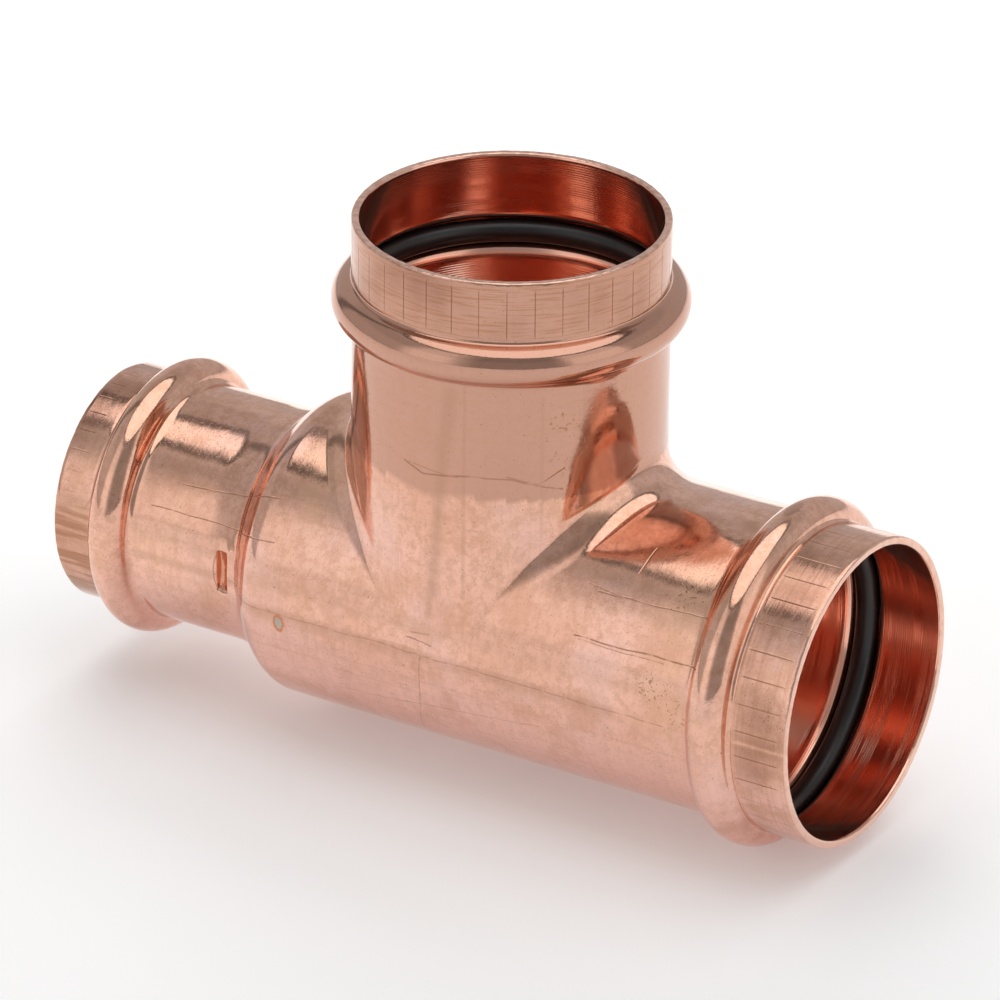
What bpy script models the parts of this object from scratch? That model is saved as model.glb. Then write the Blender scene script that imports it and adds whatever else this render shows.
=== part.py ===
"""Copper press-connect reducing tee.

A one-piece formed copper body with three tube sockets: two large ones, on the
right end of the run and on the branch, and a reduced one on the left end of the
run. Each socket is a collar, a rolled bead and a tube, and each bead's groove
holds an elastomer sealing ring. The body is an open skin, thickened inwards to
an even wall: three turned legs and a lofted crossing between them.
"""

import math
from typing import NamedTuple

import bmesh
import bpy
from mathutils import Matrix, Vector

MM = 0.001

# Driving dimensions of the body.
WALL = 1.5 * MM
BODY_RADIUS = 28.6 * MM  # outside of the run and of the branch where they cross
CROSSING_REACH = 36.0 * MM  # from the crossing of the axes to the start of each leg
CROTCH_FILLET = 6.0 * MM
V_FILLET = 1.0 * MM

# The shoulder that takes the run down to its reduced socket: a quarter ellipse, then a hollow.
SHOULDER_START = 36.35 * MM
SHOULDER_DEPTH = 8.6 * MM
SHOULDER_DROP = 15.1 * MM
SHOULDER_HOLLOW = 3.4 * MM

BEAD_RADIUS = 4.05 * MM  # of the bead's own round section, outside
BEAD_FOOT_FILLET = 1.0 * MM
SEAL_RADIUS = 2.1 * MM  # of the sealing ring's own round section

# The dimples that stop the tube at its insertion depth in the reduced socket.
STOP_SIDES = (-1, 1)  # front and back
STOP_HALF_LENGTH = 4.2 * MM
STOP_HALF_WIDTH = 1.5 * MM
STOP_HALF_DEPTH = 1.6 * MM
STOP_INSIDE_CENTRE = 0.2 * MM  # the bump's centre, outwards from the bore's surface
STOP_OUTSIDE_CENTRE = 0.8 * MM  # the dent's centre, outwards from the outside surface

SEGMENTS = 48  # round the body, a multiple of four
BEAD_STEPS = 6
FILLET_STEPS = 2
HOLLOW_STEPS = 4
CROTCH_STEPS = 4
SHOULDER_STEPS = 5
SEAL_SEGMENTS = 40
SEAL_SECTION_SEGMENTS = 8
STOP_SEGMENTS = 16
WELD_DISTANCE = 0.001 * MM
SMOOTH_ANGLE = math.radians(35)


class Socket(NamedTuple):
    """One end of the fitting. Lengths along the leg are from the crossing of the axes."""

    name: str
    direction: Vector
    reach: float  # to the rim
    radius: float  # outside of the collar and of the tube behind the bead
    bead_setback: float  # from the rim back to the middle of the bead
    bead_circle: float  # radius of the circle that the bead's section centre runs along


RUN = Socket("run", Vector((1, 0, 0)), 74.5 * MM, BODY_RADIUS, 15.8 * MM, 28.2 * MM)
BRANCH = Socket("branch", Vector((0, 0, 1)), 74.5 * MM, BODY_RADIUS, 15.8 * MM, 28.2 * MM)
REDUCED = Socket("reduced_run", Vector((-1, 0, 0)), 84.25 * MM, 22.25 * MM, 12.2 * MM, 22.0 * MM)
REDUCED_INSERTION = 37.0 * MM

LARGEST_RADIUS = RUN.bead_circle + BEAD_RADIUS
# The frame's origin is under the middle of the whole fitting, at its lowest point.
CROSSING = Vector(((REDUCED.reach - RUN.reach) / 2, 0, LARGEST_RADIUS))


def arc(centre, radius, start, end, steps):
    """Points (along, radius) on a round arc, both ends included. Angles from the along axis."""
    points = []
    for step in range(steps + 1):
        angle = start + (end - start) * step / steps
        points.append((centre[0] + radius * math.cos(angle), centre[1] + radius * math.sin(angle)))
    return points


def bead_profile(socket):
    """The bead's section from the collar side to the tube side, with a small hollow at each foot."""
    middle = (socket.reach - socket.bead_setback, socket.bead_circle)
    rise = socket.radius + BEAD_FOOT_FILLET - socket.bead_circle
    lean = math.asin(rise / (BEAD_RADIUS + BEAD_FOOT_FILLET))
    span = (BEAD_RADIUS + BEAD_FOOT_FILLET) * math.cos(lean)
    foot_height = socket.radius + BEAD_FOOT_FILLET
    outer_foot = (middle[0] + span, foot_height)
    inner_foot = (middle[0] - span, foot_height)
    down = -math.pi / 2
    points = arc(outer_foot, BEAD_FOOT_FILLET, down, -math.pi + lean, FILLET_STEPS)
    points += arc(middle, BEAD_RADIUS, lean, math.pi - lean, BEAD_STEPS)[1:]
    points += arc(inner_foot, BEAD_FOOT_FILLET, -lean, down, FILLET_STEPS)[1:]
    return points


def shoulder_point(angle):
    along = SHOULDER_START + SHOULDER_DEPTH * math.sin(angle)
    return (along, BODY_RADIUS - SHOULDER_DROP * (1 - math.cos(angle)))


def shoulder_lean(angle):
    """How far the shoulder's outward normal leans from straight out towards the socket."""
    return math.atan2(math.sin(angle) / SHOULDER_DEPTH, math.cos(angle) / SHOULDER_DROP)


def shoulder_profile():
    """From the reduced tube up the hollow and round the shoulder to the body's full radius."""
    low, high = 0.0, math.pi / 2
    for _ in range(40):
        angle = (low + high) / 2
        centre_height = shoulder_point(angle)[1] + SHOULDER_HOLLOW * math.cos(shoulder_lean(angle))
        if centre_height > REDUCED.radius + SHOULDER_HOLLOW:
            low = angle
        else:
            high = angle
    lean = shoulder_lean(angle)
    end = shoulder_point(angle)
    hollow_centre = (end[0] + SHOULDER_HOLLOW * math.sin(lean), end[1] + SHOULDER_HOLLOW * math.cos(lean))
    points = arc(hollow_centre, SHOULDER_HOLLOW, -math.pi / 2, -math.pi / 2 - lean, HOLLOW_STEPS)
    points += [shoulder_point(angle * (1 - step / SHOULDER_STEPS)) for step in range(1, SHOULDER_STEPS + 1)]
    return points


def leg_profile(socket):
    """The whole leg's outside, from its rim to where the crossing starts."""
    points = [(socket.reach, socket.radius)]
    points += bead_profile(socket)
    if socket is REDUCED:
        points += shoulder_profile()
    points.append((CROSSING_REACH, BODY_RADIUS))
    return points


def leg_matrix(socket):
    """Takes a shape drawn along +Z to the socket's direction, with its seam on a crossing vertex."""
    if socket is BRANCH:
        return Matrix.Identity(4)
    return Matrix.Rotation(math.copysign(math.pi / 2, socket.direction.x), 4, "Y")


def add_leg(skin, socket):
    """Turns the leg's profile about its axis and adds it to the skin."""
    matrix = leg_matrix(socket)
    vertices = [skin.verts.new(matrix @ Vector((radius, 0, along))) for along, radius in leg_profile(socket)]
    edges = [skin.edges.new(pair) for pair in zip(vertices, vertices[1:])]
    bmesh.ops.spin(
        skin,
        geom=vertices + edges,
        cent=Vector(),
        axis=socket.direction,
        angle=2 * math.pi,
        steps=SEGMENTS,
        use_merge=True,
    )


def crotch_fillet(height):
    """The hollow between the two tubes, widest at the crotch on top and tightest at the V on either side."""
    return V_FILLET + (CROTCH_FILLET - V_FILLET) * height / BODY_RADIUS


def crotch_string(side, y, height):
    """A line of the skin in a plane of constant y: along the run, round the crotch, up the branch."""
    fillet = crotch_fillet(height)
    centre = height + fillet
    points = [Vector((side * CROSSING_REACH, y, height))]
    for step in range(CROTCH_STEPS + 1):
        angle = math.pi / 2 * step / CROTCH_STEPS
        across = centre - fillet * math.sin(angle)
        points.append(Vector((side * across, y, centre - fillet * math.cos(angle))))
    points.append(Vector((side * height, y, CROSSING_REACH)))
    return points


def belly_string(y, z):
    """A line of the skin under the crossing, from one end of the run to the other."""
    stations = (CROSSING_REACH, V_FILLET, -V_FILLET, -CROSSING_REACH)
    return [Vector((x, y, z)) for x in stations]


def add_loft(skin, first, second):
    """Faces between two lines of points. Where the lines touch, a face is a triangle."""
    for a, b, c, d in zip(first, first[1:], second[1:], second):
        corners = [a, b, c, d]
        distinct = [p for i, p in enumerate(corners) if (p - corners[i - 1]).length > WELD_DISTANCE]
        skin.faces.new([skin.verts.new(point) for point in distinct])


def add_crossing(skin):
    """The crossing of two equal tubes, with a hollow round its crotch and a flat gusset at each V."""
    half = SEGMENTS // 2
    turns = [math.pi * step / half for step in range(half + 1)]
    rings = [(BODY_RADIUS * math.cos(turn), BODY_RADIUS * abs(math.sin(turn))) for turn in turns]
    for side in (-1, 1):
        strings = [crotch_string(side, y, height) for y, height in rings]
        for first, second in zip(strings, strings[1:]):
            add_loft(skin, first, second)
    bellies = [belly_string(y, -height) for y, height in rings]
    for first, second in zip(bellies, bellies[1:]):
        add_loft(skin, first, second)
    for y in (-BODY_RADIUS, BODY_RADIUS):
        left = crotch_string(-1, y, 0.0)[1:-1]
        right = crotch_string(1, y, 0.0)[1:-1]
        add_loft(skin, left, right)


def new_material(name, colour, metallic, roughness):
    material = bpy.data.materials.new(name)
    material.use_nodes = True
    shader = material.node_tree.nodes["Principled BSDF"]
    shader.inputs["Base Color"].default_value = (*colour, 1.0)
    shader.inputs["Metallic"].default_value = metallic
    shader.inputs["Roughness"].default_value = roughness
    material.diffuse_color = (*colour, 1.0)
    return material


def add_stop_shape(name, collection, material, parent, side, height):
    """A flattened ball across the reduced tube, at the insertion depth on its front or back."""
    bpy.ops.mesh.primitive_uv_sphere_add(segments=STOP_SEGMENTS, ring_count=STOP_SEGMENTS // 2, radius=1)
    shape = bpy.context.object
    shape.name = name
    shape.data.name = name
    shape.data.transform(Matrix.Diagonal((STOP_HALF_WIDTH, STOP_HALF_DEPTH, STOP_HALF_LENGTH, 1)))
    shape.location = (REDUCED_INSERTION - REDUCED.reach, side * height, 0)
    shape.parent = parent
    shape.data.materials.append(material)
    shape.hide_render = True
    shape.display_type = "WIRE"
    move_to(shape, collection)
    return shape


def move_to(thing, collection):
    for owner in thing.users_collection:
        owner.objects.unlink(thing)
    collection.objects.link(thing)


def add_boolean(body, name, operation, other):
    modifier = body.modifiers.new(name, "BOOLEAN")
    modifier.operation = operation
    modifier.solver = "EXACT"
    modifier.object = other


def shade(mesh):
    mesh.shade_smooth()
    mesh.set_sharp_from_angle(angle=SMOOTH_ANGLE)


def build_body(parts, cutters, parent, material):
    skin = bmesh.new()
    add_crossing(skin)
    for socket in (RUN, BRANCH, REDUCED):
        add_leg(skin, socket)
    bmesh.ops.remove_doubles(skin, verts=skin.verts, dist=WELD_DISTANCE)
    bmesh.ops.recalc_face_normals(skin, faces=skin.faces)
    mesh = bpy.data.meshes.new("tee_body")
    skin.to_mesh(mesh)
    skin.free()
    mesh.materials.append(material)
    shade(mesh)
    body = bpy.data.objects.new("tee_body", mesh)
    body.parent = parent
    parts.objects.link(body)

    wall = body.modifiers.new("wall", "SOLIDIFY")
    wall.thickness = WALL
    wall.offset = -1
    wall.use_even_offset = True
    wall.use_quality_normals = True

    bore_radius = REDUCED.radius - WALL
    for side in STOP_SIDES:
        end = "front" if side < 0 else "back"
        bump_height = bore_radius + STOP_INSIDE_CENTRE
        bump = add_stop_shape(f"stop_bump_{end}", cutters, material, parent, side, bump_height)
        add_boolean(body, f"stop bump {end}", "UNION", bump)
        dent_height = REDUCED.radius + STOP_OUTSIDE_CENTRE
        dent = add_stop_shape(f"stop_dent_{end}", cutters, material, parent, side, dent_height)
        add_boolean(body, f"stop dent {end}", "DIFFERENCE", dent)


def build_seal(socket, parts, parent, material):
    """A round-section ring that sits in the groove inside the bead."""
    bpy.ops.mesh.primitive_torus_add(
        major_segments=SEAL_SEGMENTS,
        minor_segments=SEAL_SECTION_SEGMENTS,
        major_radius=socket.bead_circle,
        minor_radius=SEAL_RADIUS,
    )
    seal = bpy.context.object
    seal.name = f"{socket.name}_seal"
    seal.data.name = seal.name
    seal.data.materials.append(material)
    seal.data.shade_smooth()
    seal.location = socket.direction * (socket.reach - socket.bead_setback)
    seal.rotation_euler = leg_matrix(socket).to_euler()
    seal.parent = parent
    move_to(seal, parts)


def new_collection(name):
    collection = bpy.data.collections.new(name)
    bpy.context.scene.collection.children.link(collection)
    return collection


def main():
    for thing in list(bpy.data.objects):
        bpy.data.objects.remove(thing, do_unlink=True)
    bpy.context.scene.unit_settings.system = "METRIC"
    parts = new_collection("tee_fitting")
    cutters = new_collection("tee_fitting_cutters")
    cutters.hide_render = True

    crossing = bpy.data.objects.new("axes_crossing", None)
    crossing.empty_display_size = BODY_RADIUS
    crossing.location = CROSSING
    parts.objects.link(crossing)

    copper = new_material("copper", (0.80, 0.44, 0.32), 1.0, 0.24)
    rubber = new_material("black_rubber", (0.015, 0.015, 0.016), 0.0, 0.38)
    build_body(parts, cutters, crossing, copper)
    for socket in (RUN, BRANCH, REDUCED):
        build_seal(socket, parts, crossing, rubber)


main()
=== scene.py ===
"""The looks of the copper press-connect reducing tee.

The copper body is rebuilt as a fine mesh over the CAD body: both faces of the
wall, rounded rims, scored collars, rolled beads, the stop punches and the die
line. Lengths are metres. The legs are drawn about the crossing of the axes and
the whole is then moved to the frame's origin.
"""

import math
from typing import NamedTuple

import bmesh
import bpy
import numpy as np
from mathutils import Matrix, Vector, noise


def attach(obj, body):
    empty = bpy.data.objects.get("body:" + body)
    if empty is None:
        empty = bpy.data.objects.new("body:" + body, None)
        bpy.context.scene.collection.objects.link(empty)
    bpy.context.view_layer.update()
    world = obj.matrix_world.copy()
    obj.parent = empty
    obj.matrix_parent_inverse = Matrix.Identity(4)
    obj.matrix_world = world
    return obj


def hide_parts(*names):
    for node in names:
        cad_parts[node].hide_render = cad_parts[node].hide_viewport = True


MM = 0.001

# The body's own dimensions, as in the CAD.
WALL = 1.5 * MM
BODY_RADIUS = 28.6 * MM
CROSSING_REACH = 36.0 * MM
CROTCH_FILLET = 6.0 * MM
V_FILLET = 1.0 * MM
SHOULDER_START = 36.35 * MM
SHOULDER_DEPTH = 8.6 * MM
SHOULDER_DROP = 15.1 * MM
SHOULDER_HOLLOW = 3.4 * MM
BEAD_RADIUS = 4.05 * MM
COLLAR_FOOT = 0.8 * MM
TUBE_FOOT = 1.3 * MM
SEAL_RADIUS = 2.1 * MM
SEAL_FLASH = 0.07 * MM
RIM_ROUND = 0.35 * MM

# Fineness. The collars are finer round, so that their scored lines are thin.
ROUND = 480
COLLAR_RATIO = 4
BEAD_STEPS = 34
FOOT_STEPS = 6
RIM_STEPS = 3
SHOULDER_STEPS = 26
CROTCH_STEPS = 14
SEAL_ROUND = 360
SEAL_STEPS = 48
GUSSET_STEPS = 20
SPACING = 0.55 * MM
FINE_SPACING = 0.16 * MM

FLARE_SPAN = (43.0 * MM, 51.5 * MM)  # where the small tube widens towards the shoulder
FLARE_FADE = (23.5 * MM, 27.5 * MM)  # the radii over which the shoulder takes it up
FLARE_HEIGHT = 0.6 * MM

SCORE_COUNT = 36
SCORE_DEPTH = 0.07 * MM
SCORE_HALF_WIDTH = 0.085 * MM
FACET_SHARE = 0.06  # how nearly the collar is a 36-sided prism

STOP_CENTRE = 47.5 * MM  # of the stop punch, from the crossing
STOP_HALF_WIDTH = 1.2 * MM
STOP_HALF_LENGTH = 4.0 * MM
STOP_DEPTH = 1.05 * MM
STOP_EDGE = 0.22 * MM
STOP_DISH_LENGTH = 1.5 * MM
STOP_DISH_DEPTH = 0.95 * MM
STOP_BULGE = 0.38 * MM
STOP_BULGE_PLACE = (-1.9 * MM, 4.4 * MM)
STOP_BULGE_SIZE = (0.9 * MM, 1.4 * MM)
STOP_SINK = 0.12 * MM  # of the tube about the punch
STOP_SINK_SIZE = (2.2 * MM, 4.5 * MM)
STOP_INNER_HEIGHT = 1.15 * MM  # of the lump inside that a tube stops against
STOP_REGION = (STOP_CENTRE - 3.2 * MM, STOP_CENTRE + 5.0 * MM)
STOP_REGION_RADIUS = 24.0 * MM

BURR_DEPTH = 0.05 * MM
BURR_LENGTH = 1.3 * MM
# The unevenness of hand and die: how far apart its swells are, and how high.
BROAD_LENGTH = 14 * MM
BROAD_HEIGHT = 0.1 * MM
RIPPLE_LENGTH = 4.5 * MM
RIPPLE_HEIGHT = 0.022 * MM
SKIN_MARGIN = 0.07 * MM  # pulls the skin in, to keep its swells within the CAD body's box

DIE_LINE_HEIGHT = 0.055 * MM
DIE_LINE_HALF_WIDTH = 0.35 * MM
DIE_LINE_FADE = (8.0 * MM, 14.0 * MM)
DIE_LINE_COLLAR_SHARE = 0.35
COLLAR_LENGTH = 13.0 * MM
SMALL_COLLAR_X = -60.0 * MM  # the small collar is beyond it
SCORE_FADE = 0.4 * MM
PIT_CENTRE = (-31.1 * MM, -28.4 * MM, -3.0 * MM)
PIT_RADIUS = 1.25 * MM
PIT_DEPTH = 0.16 * MM
PIT_LIP = 0.05 * MM
PIT_NARROWING = 0.72  # its width along the run, as a share of its height

# The camera's place about the crossing of the axes.
CAMERA_AZIMUTH = math.radians(31.566)
CAMERA_ELEVATION = math.radians(26.393)
CAMERA_ROLL = math.radians(0.525)
CAMERA_DISTANCE = 1722.79 * MM
CAMERA_RIGHT = -1.529 * MM
CAMERA_UP = 16.312 * MM
CAMERA_LENS = 342.95
CAMERA_SENSOR = 36.0

# The light tent. Its walls stand by azimuth: degrees, 0 towards -Y, 90 towards +X.
TENT_LEVEL = 0.54
TENT_LOW_SHARE = 0.6  # of a wall's light near the floor
TENT_LOW_EDGE = (-8, 6)
TENT_HIGH_SHARE = 0.84
TENT_HIGH_EDGE = (28, 38)
TENT_ROOF = 0.66
TENT_ROOF_EDGE = (50, 58)
# The round softbox overhead, by the sideways parts of the direction to it.
ROUND_BOX_CENTRE = (0.03, 0.04)
ROUND_BOX_RADIUS = 0.555
ROUND_BOX_EDGE = 0.012
ROUND_BOX_FRAME = 0.06
ROUND_BOX_LEVEL = 1.4
ROUND_BOX_FRAME_LEVEL = 0.16
BACKGROUND_LEVEL = 0.85
FLOOR_GLOW = 0.17
BACK_LIGHT_PLACE = (-0.3, 0.5, 0.4)
BACK_LIGHT_SIZE = 0.5
BACK_LIGHT_POWER = 1.9

# Marks of forming and handling on the laid-flat surface, their places read from the photograph to about half
# a millimetre: start, end, half width, strength. The run's are by X and arc above the front, the branch's by
# arc right of the front and height.
RUN_MARKS = (
    # die scratches along the run, at mid height and high on the shoulder
    (-63.0, 12.0, -33.0, 12.5, 0.22, 0.7),
    (-58.0, 19.0, -34.0, 20.5, 0.22, 0.7),
    (30.5, 11.5, 57.0, 12.0, 0.24, 0.8),
    (31.5, 11.0, 49.0, 11.0, 0.16, 0.55),
    (33.0, 20.5, 56.0, 21.0, 0.2, 0.5),
    (30.5, 21.5, 39.0, 20.5, 0.16, 0.45),
    (-45.0, -0.5, 50.0, -0.5, 0.26, 0.4),
    # handling scratches across it
    (40.0, 31.0, 39.0, 25.5, 0.26, 0.5),
    (-21.0, -15.0, 24.0, -9.0, 0.2, 0.35),
    (0.0, 0.5, -1.0, -8.0, 0.22, 0.45),
    (-1.0, -8.0, -4.5, -22.5, 0.2, 0.35),
    # a small dent's edge at the front
    (-3.5, 2.5, 2.0, 2.0, 0.26, 0.6),
    (-2.5, 3.5, 1.5, 4.0, 0.26, 0.4),
)
BRANCH_MARKS = (
    # the wandering seam where the branch's drawing stopped
    (-4.0, 37.5, 0.0, 36.0, 0.26, 0.75),
    (0.0, 36.0, 9.0, 37.0, 0.28, 0.65),
    (9.0, 37.0, 17.0, 37.0, 0.26, 0.55),
    (17.0, 37.0, 26.0, 34.5, 0.24, 0.55),
    (-3.0, 37.5, 7.0, 36.5, 0.18, 0.45),
    (16.0, 37.5, 21.5, 36.0, 0.26, 0.5),
    (21.5, 36.0, 26.5, 38.5, 0.24, 0.5),
)
# Broad dark stripes along the run and down the branch's front: painted dark reflections.
RUN_PAINTED_BANDS = ((-66.0, -1.5, 38.0, -1.5, 2.2, 0.36), (-66.0, 4.5, 60.0, 4.5, 2.6, 0.2))
BRANCH_PAINTED_BANDS = (
    (5.0, 52.0, 3.5, 40.5, 2.8, 0.44),
    (3.5, 40.5, 1.5, 12.0, 2.1, 0.5),
    (1.5, 12.0, 0.5, 7.5, 1.3, 0.4),
)
# Two fine dark lines down the branch.
BRANCH_LINES = ((7.5, 54.0, 7.5, 12.0, 0.6, 0.3), (21.5, 52.0, 21.5, 24.0, 0.7, 0.2))
# Clusters of fine specks: centre about the crossing, radius. Millimetres.
SPECK_PATCHES = (
    ((46.5, -28.0, 5.0), 6.0),
    ((51.5, -28.5, 2.0), 4.0),
    ((22.0, -18.0, 47.0), 5.0),
    ((21.0, -19.5, 40.0), 3.0),
    ((49.0, -19.5, 21.0), 5.0),
    ((70.0, -26.0, 5.0), 7.0),
)
TURNED_PITCH = 0.45
HAIR_TURNS = (((0.2, 0.3, 0.5), 3.0), ((0.7, -0.5, 1.3), 11.0), ((-0.4, 1.1, -0.6), 23.0))

# Zones of the surface, kept in the mesh for the material.
BODY, COLLAR, BEAD, TUBE, RIM, SHOULDER = range(6)


class Panel(NamedTuple):
    """An upright stretch of the tent, brighter or darker than the rest. Degrees of azimuth."""

    start: float
    end: float
    soft: float
    level: float


DARK_STRIP = Panel(-110, -100, 3, 0.22)
FRONT_LEFT_BOX = Panel(-38, -4, 8, 1.0)
OPEN_SIDE = Panel(6, 63, 6, 0.35)
RIGHT_BOX = Panel(69, 109, 4, 1.0)
TENT_PANELS = (DARK_STRIP, FRONT_LEFT_BOX, OPEN_SIDE, RIGHT_BOX)


class Leg(NamedTuple):
    """One socket. Lengths along it are from the crossing of the axes."""

    name: str
    axis: str
    way: int
    reach: float
    radius: float
    bead_setback: float
    bead_circle: float
    score_turn: float  # degrees from the side, where the first scored line is
    score_strength: float
    score_span: tuple[float, float]  # from the rim


RUN = Leg("run", "X", 1, 74.5 * MM, BODY_RADIUS, 15.8 * MM, 28.2 * MM, 5.5, 0.75, (1.6 * MM, 10.6 * MM))
BRANCH = Leg("branch", "Z", 1, 74.5 * MM, BODY_RADIUS, 15.8 * MM, 28.2 * MM, 0.0, 1.0, (1.3 * MM, 10.8 * MM))
REDUCED = Leg(
    "reduced_run", "X", -1, 84.25 * MM, 22.25 * MM, 12.2 * MM, 22.0 * MM, -1.5, 0.45, (0.8 * MM, 4.6 * MM)
)
LEGS = (RUN, BRANCH, REDUCED)
CROSSING = Vector(((REDUCED.reach - RUN.reach) / 2, 0, RUN.bead_circle + BEAD_RADIUS))


# ---------------------------------------------------------------- profiles


def arc(centre, radius, start, end, steps):
    angles = np.linspace(start, end, steps + 1)
    return np.column_stack([centre[0] + radius * np.cos(angles), centre[1] + radius * np.sin(angles)])


def straight(start, end, spacing):
    """Evenly spaced points strictly between two points."""
    start, end = np.array(start), np.array(end)
    count = max(2, int(math.ceil(np.linalg.norm(end - start) / spacing)))
    share = np.arange(1, count)[:, None] / count
    return start + (end - start) * share


def bead_foot(leg, fillet, side):
    """Centre of the hollow at one foot of the bead, and how far the bead's face leans there."""
    rise = leg.radius + fillet - leg.bead_circle
    lean = math.asin(rise / (BEAD_RADIUS + fillet))
    middle = leg.reach - leg.bead_setback
    return (middle + side * (BEAD_RADIUS + fillet) * math.cos(lean), leg.radius + fillet), lean


def shoulder_point(angle, depth):
    """A point of the shoulder's ellipse, moved in by depth along its normal."""
    lean = shoulder_lean(angle)
    along = SHOULDER_START + SHOULDER_DEPTH * math.sin(angle) - depth * math.sin(lean)
    return (along, BODY_RADIUS - SHOULDER_DROP * (1 - math.cos(angle)) - depth * math.cos(lean))


def shoulder_lean(angle):
    return math.atan2(math.sin(angle) / SHOULDER_DEPTH, math.cos(angle) / SHOULDER_DROP)


def shoulder_end():
    """The angle round the shoulder's ellipse at which the hollow takes over."""
    low, high = 0.0, math.pi / 2
    for _ in range(40):
        angle = (low + high) / 2
        if shoulder_point(angle, -SHOULDER_HOLLOW)[1] > REDUCED.radius + SHOULDER_HOLLOW:
            low = angle
        else:
            high = angle
    return angle


def collar_profile(leg, depth):
    """From the rim's rounded edge to the bead's outer foot."""
    foot, _ = bead_foot(leg, COLLAR_FOOT, 1)
    start = (leg.reach - RIM_ROUND, leg.radius - depth)
    end = (foot[0], leg.radius - depth)
    return np.vstack([[start], straight(start, end, SPACING), [end]])


def inner_profile(leg, depth):
    """From just behind the collar over the bead and along the tube to the crossing, with zones."""
    down = -math.pi / 2
    outer_foot, outer_lean = bead_foot(leg, COLLAR_FOOT, 1)
    inner_foot, inner_lean = bead_foot(leg, TUBE_FOOT, -1)
    middle = (leg.reach - leg.bead_setback, leg.bead_circle)
    bead = [
        arc(outer_foot, COLLAR_FOOT + depth, down, -math.pi + outer_lean, FOOT_STEPS)[1:],
        arc(middle, BEAD_RADIUS - depth, outer_lean, math.pi - inner_lean, BEAD_STEPS)[1:],
        arc(inner_foot, TUBE_FOOT + depth, -inner_lean, down, FOOT_STEPS)[1:],
    ]
    points = np.vstack(bead)
    zones = [BEAD] * len(points)
    side = leg.radius - depth
    if leg is not REDUCED:
        tube = straight(points[-1], (CROSSING_REACH, side), SPACING)
        points = np.vstack([points, tube])
        return points, zones + [TUBE] * len(tube)
    end_angle = shoulder_end()
    lean = shoulder_lean(end_angle)
    centre = shoulder_point(end_angle, -SHOULDER_HOLLOW)
    hollow = arc(centre, SHOULDER_HOLLOW + depth, down, down - lean, FOOT_STEPS)
    round_part = [shoulder_point(a, depth) for a in np.linspace(end_angle, 0, SHOULDER_STEPS + 1)[1:]]
    punch = (STOP_CENTRE + 3 * STOP_HALF_WIDTH, side)
    tube = np.vstack([
        straight(points[-1], punch, SPACING),
        [punch],
        straight(punch, hollow[0], FINE_SPACING),
        hollow,
    ])
    shoulder = np.array(round_part)
    points = np.vstack([points, tube, shoulder])
    return points, zones + [TUBE] * len(tube) + [SHOULDER] * len(shoulder)


# ---------------------------------------------------------------- mesh


class MeshBuilder:
    """Gathers points and faces as arrays of indices, with one zone and one side for each point."""

    def __init__(self):
        self.points, self.faces, self.zones, self.inside = [], [], [], []
        self.count = 0

    def add(self, points, zone, inside):
        points = np.asarray(points, float).reshape(-1, 3)
        index = np.arange(self.count, self.count + len(points))
        self.points.append(points)
        self.zones.append(np.full(len(points), zone))
        self.inside.append(np.full(len(points), float(inside)))
        self.count += len(points)
        return index

    def loft(self, first, second, closed):
        if closed:
            first = np.append(first, first[0])
            second = np.append(second, second[0])
        quads = np.column_stack([first[:-1], first[1:], second[1:], second[:-1]])
        self.faces += quads.tolist()

    def stitch(self, coarse, fine):
        """Joins a closed row to one with a whole number of times its points."""
        ratio = len(fine) // len(coarse)
        for i in range(len(coarse)):
            span = [int(fine[(i * ratio + k) % len(fine)]) for k in range(ratio, -1, -1)]
            self.faces.append([int(coarse[i]), int(coarse[(i + 1) % len(coarse)]), *span])

    def fan(self, row, tip):
        for a, b in zip(row[:-1], row[1:]):
            self.faces.append([int(a), int(b), int(tip)])


def ring_points(leg, along, radius, count):
    turns = np.arange(count) * (2 * math.pi / count)
    across, height = radius * np.cos(turns), radius * np.sin(turns)
    lengthwise = np.full(count, along * leg.way)
    if leg.axis == "X":
        return np.column_stack([lengthwise, across, height])
    return np.column_stack([height, across, lengthwise])


def score_depth(leg, along, count):
    """How deep the scored lines are cut at each point of a ring of the collar."""
    start, end = leg.score_span
    from_rim = leg.reach - along
    ends = min(1.0, max(0.0, (from_rim - start) / SCORE_FADE))
    ends *= min(1.0, max(0.0, (end - from_rim) / SCORE_FADE))
    turns = np.degrees(np.arange(count) * (2 * math.pi / count))
    pitch = 360 / SCORE_COUNT
    # Rings start at +Y, and the lines are counted from -Y.
    away = (turns - 180 - leg.score_turn * leg.way + pitch / 2) % pitch - pitch / 2
    line = np.round((turns - 180 - leg.score_turn * leg.way) / pitch).astype(int)
    strength = (0.8 + 0.2 * np.sin(line * 2.4 + leg.reach * 1000) * np.sin(line * 0.9)) * leg.score_strength
    distance = np.radians(away) * leg.radius
    lines = SCORE_DEPTH * ends * strength * np.exp(-((distance / SCORE_HALF_WIDTH) ** 2))
    flat = leg.radius * (1 - math.cos(math.radians(pitch / 2)) / np.cos(np.radians(pitch / 2 - np.abs(away))))
    return lines + FACET_SHARE * ends * flat


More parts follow.
